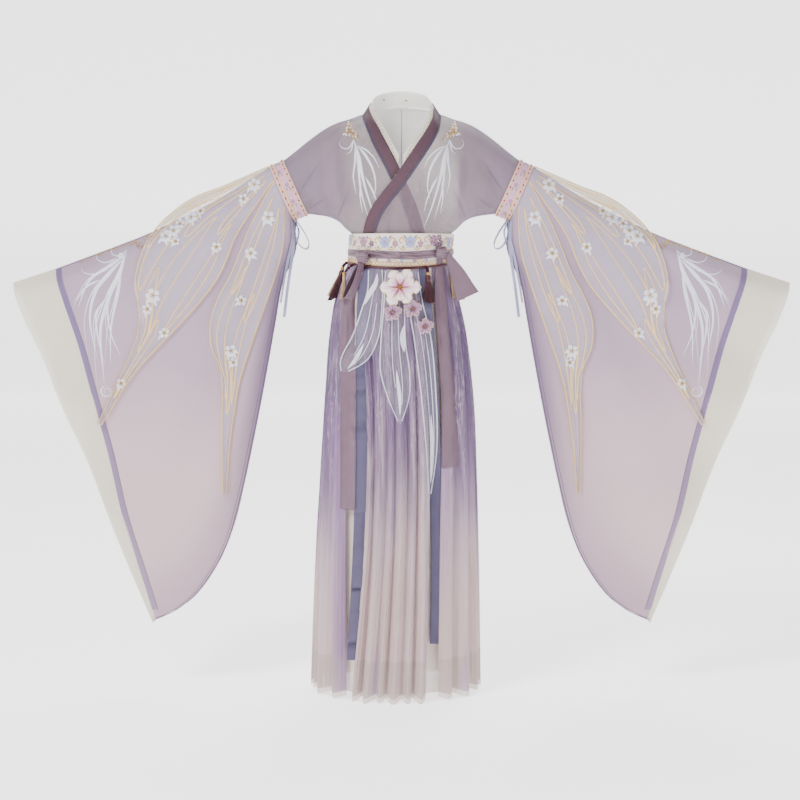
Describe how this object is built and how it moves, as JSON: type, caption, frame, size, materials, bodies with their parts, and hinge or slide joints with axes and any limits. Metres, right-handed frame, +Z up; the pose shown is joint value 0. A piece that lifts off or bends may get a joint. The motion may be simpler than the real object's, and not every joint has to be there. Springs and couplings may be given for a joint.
{
  "type": "hezi skirt hanfu set",
  "caption": "Crossed-collar hanfu jacket with long hanging sleeves, a wide embroidered waistband with ribbons and tassels, and a long layered skirt open in front slits.",
  "frame": {"origin": "between the shoulders at the neck, where the wearer holds the garment up", "axes": "+Z up, front faces -Y, wearer's left is +X"},
  "size_m": [1.8558, 0.3423, 1.4345],
  "materials": {
    "mauve_organza": "sheer mauve organza, matt",
    "plum_band": "plum woven band with a pale blue piping",
    "cream_lace": "cream lace and facing cloth",
    "pink_brocade": "pink and lilac brocade with piped edges",
    "sleeve_organza": "sheer organza, mauve at the shoulder to pale pink at the foot",
    "cuff_border": "pale grey-white border cloth with a purple stripe",
    "wing_organza": "sheer organza with gold cord veins",
    "tie_ribbon": "pale blue satin ribbon",
    "belt_brocade": "cream embroidered brocade with a gold lattice lower edge",
    "sash_satin": "mauve satin ribbon",
    "skirt_organza": "purple to pale gradient organza",
    "underskirt_organza": "cream sheer organza",
    "lining_satin": "pale opaque lining",
    "slate_ribbon": "slate blue band",
    "apron_organza": "sheer white organza with white cord edges",
    "flower_pink": "white and pink applique flowers",
    "burgundy_thread": "burgundy thread",
    "tan_thread": "tan thread"
  },
  "bodies": {
    "root": {"jacket_front_left": "mauve_organza", "jacket_front_right": "mauve_organza", "jacket_back_left": "mauve_organza", "jacket_back_right": "mauve_organza", "collar_left": "plum_band", "collar_right": "plum_band", "collar_back": "plum_band", "lace_left": "cream_lace", "lace_right": "cream_lace", "inner_collar": "cream_lace", "inner_back": "cream_lace", "armlet_left": "pink_brocade", "armlet_right": "pink_brocade", "sleeve_front_left": "sleeve_organza", "sleeve_front_right": "sleeve_organza", "sleeve_back_left": "sleeve_organza", "sleeve_back_right": "sleeve_organza", "cuff_front_left": "cuff_border", "cuff_front_right": "cuff_border", "cuff_back_left": "cuff_border", "cuff_back_right": "cuff_border", "wing_upper_left": "wing_organza", "wing_upper_right": "wing_organza", "wing_lower_left": "wing_organza", "wing_lower_right": "wing_organza", "wing_back_left": "wing_organza", "wing_back_right": "wing_organza", "tie_left": "tie_ribbon", "tie_right": "tie_ribbon", "belt": "belt_brocade", "sash": "sash_satin", "knot_left": "sash_satin", "knot_right": "sash_satin", "loop_right": "sash_satin", "tail_left": "sash_satin", "tail_left_short": "sash_satin", "tail_right": "sash_satin", "skirt_front": "skirt_organza", "skirt_left": "skirt_organza", "skirt_right": "skirt_organza", "skirt_back_left": "skirt_organza", "skirt_back_right": "skirt_organza", "underskirt_front": "underskirt_organza", "underskirt_back": "underskirt_organza", "lining": "lining_satin", "streamer_left": "slate_ribbon", "streamer_right": "slate_ribbon", "apron_left": "apron_organza", "apron_middle": "apron_organza", "apron_right": "apron_organza", "flower": "flower_pink", "blossom_1": "flower_pink", "blossom_2": "flower_pink", "blossom_3": "flower_pink", "tassel_right_hip": "burgundy_thread", "tassel_middle": "burgundy_thread", "tassel_left_hip": "burgundy_thread", "tassel_right_side": "tan_thread", "tassel_right_front": "tan_thread", "tassel_left_side": "tan_thread"}
  },
  "joints": []
}
